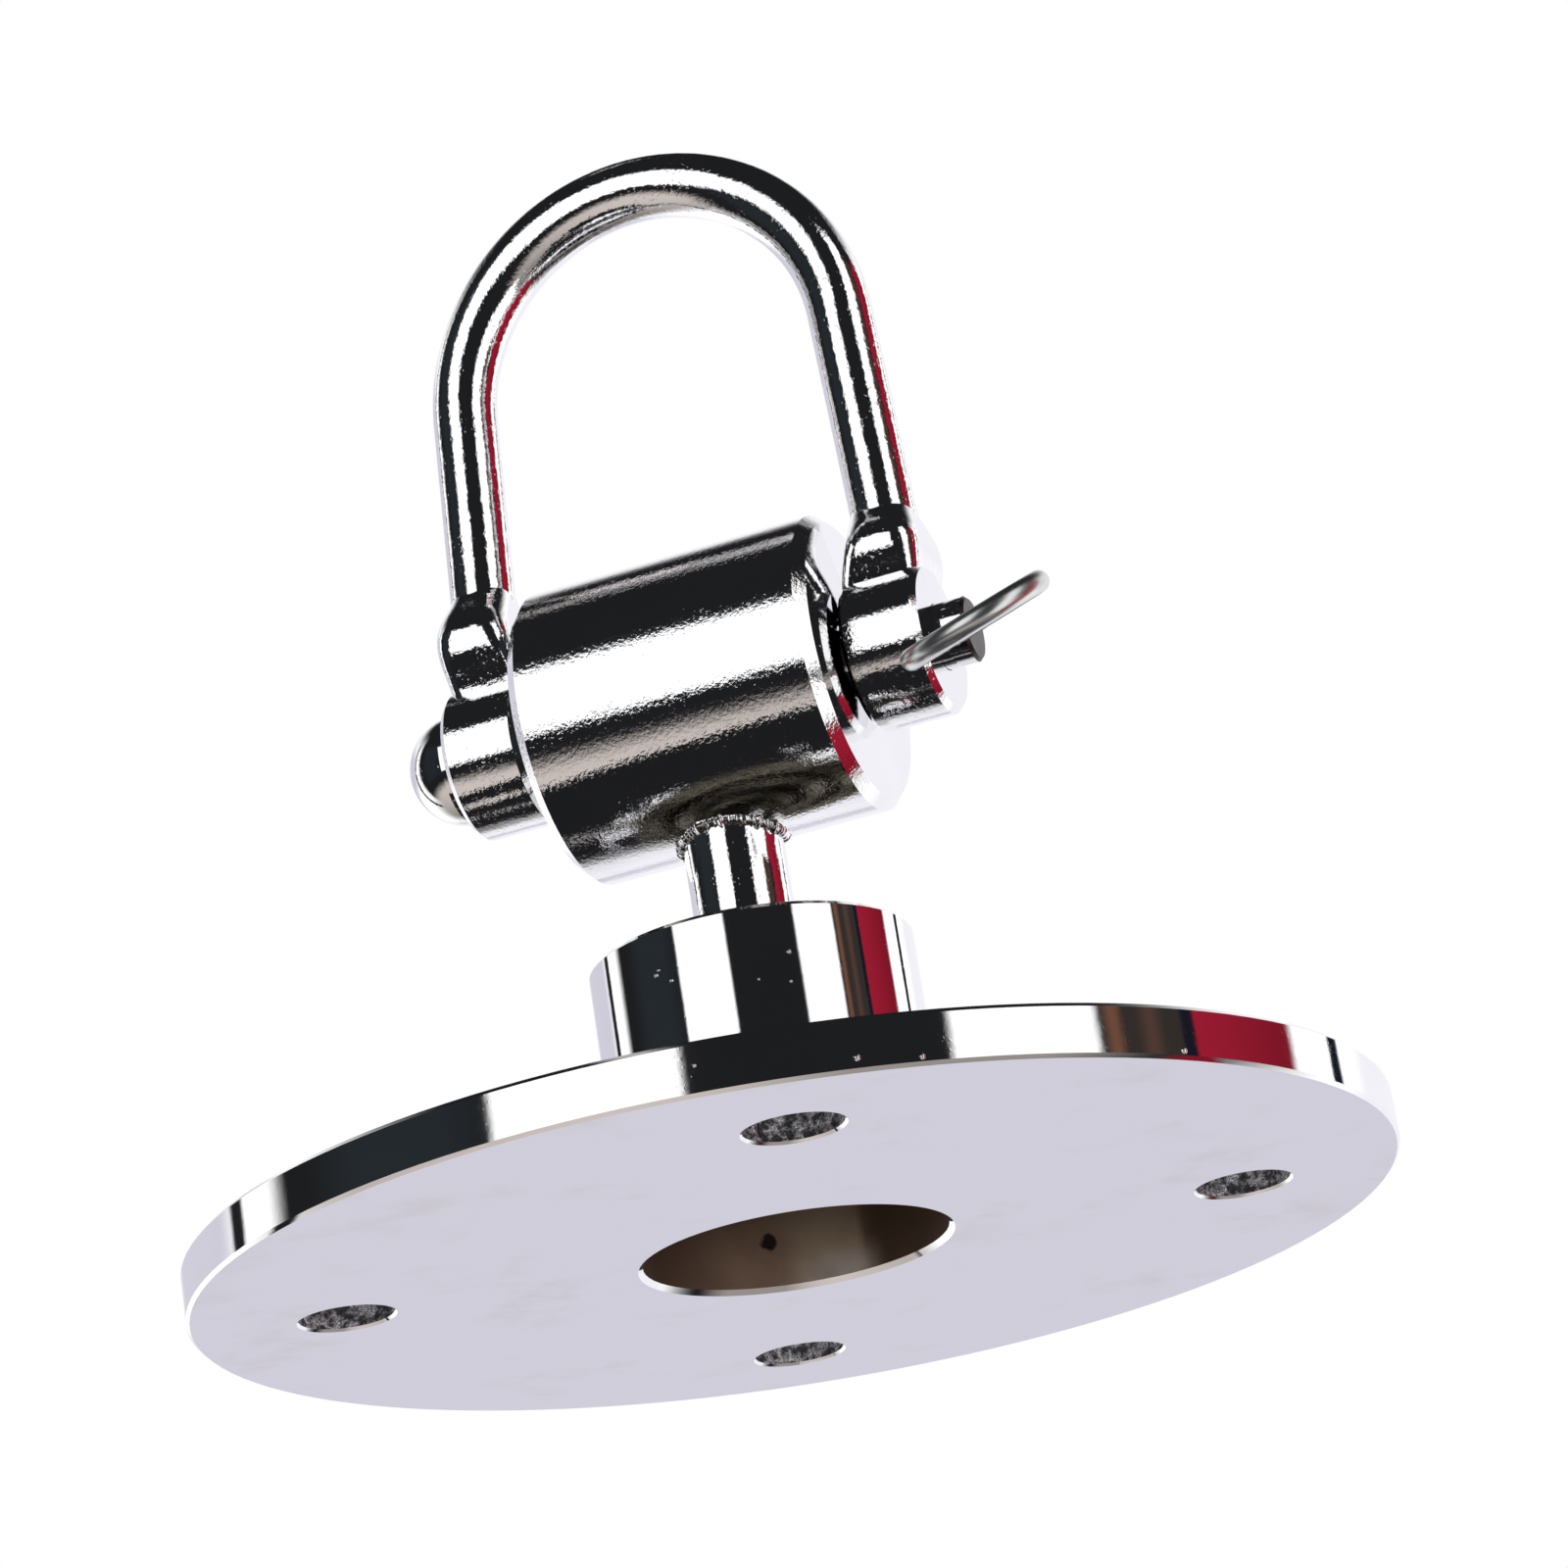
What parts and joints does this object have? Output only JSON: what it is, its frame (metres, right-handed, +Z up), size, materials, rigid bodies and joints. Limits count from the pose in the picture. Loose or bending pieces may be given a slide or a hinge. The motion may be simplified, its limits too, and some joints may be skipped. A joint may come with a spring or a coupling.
{
  "type": "swivelling ceiling hook",
  "caption": "Swivelling ceiling hook: round bolt-on flange with a bearing hub, a turning stem and cross barrel, and a swinging shackle on a clevis pin with a split cotter.",
  "frame": {"origin": "centre of the mounting face, where the flange meets the ceiling", "axes": "+Z up into the ceiling along the swivel axis, the shackle hangs towards -Z; X along the clevis pin, its split cotter at -X"},
  "size_m": [0.14, 0.14, 0.1406],
  "materials": {
    "chrome": "mirror-bright plating, satin on the mounting face",
    "weld_bead": "plated over a rough bead",
    "cotter_wire": "dull bright wire",
    "bearing_steel": "ground steel",
    "plated_steel": "zinc plated",
    "nylon": "plain nylon"
  },
  "bodies": {
    "flange": {"mounting_flange": "chrome", "bearing_outer_ring": "bearing_steel", "bearing_shield_upper": "bearing_steel", "bearing_shield_lower": "bearing_steel"},
    "swivel": {"swivel_stem": "chrome", "stem_weld": "weld_bead", "swivel_barrel": "chrome", "lock_nut": "plated_steel", "nut_insert": "nylon", "stem_washer": "plated_steel", "bearing_inner_ring": "bearing_steel"},
    "ball_set": {"bearing_cage": "bearing_steel", "bearing_balls": "bearing_steel"},
    "shackle": {"shackle": "chrome", "clevis_pin": "chrome", "split_cotter": "cotter_wire"}
  },
  "joints": [
    {"name": "swivel_spin", "type": "hinge", "parent": "flange", "child": "swivel", "pos_m": [0, 0, 0], "axis": [0, 0, 1], "continuous": true},
    {"name": "ball_orbit", "type": "hinge", "parent": "flange", "child": "ball_set", "pos_m": [0, 0, 0], "axis": [0, 0, 1], "continuous": true},
    {"name": "shackle_swing", "type": "hinge", "parent": "swivel", "child": "shackle", "pos_m": [0, 0, -0.0682], "axis": [1, 0, 0], "range_deg": [-145, 145]}
  ],
  "couplings": [
    {"joint": "ball_orbit", "follows": "swivel_spin", "ratio": 0.35556}
  ]
}
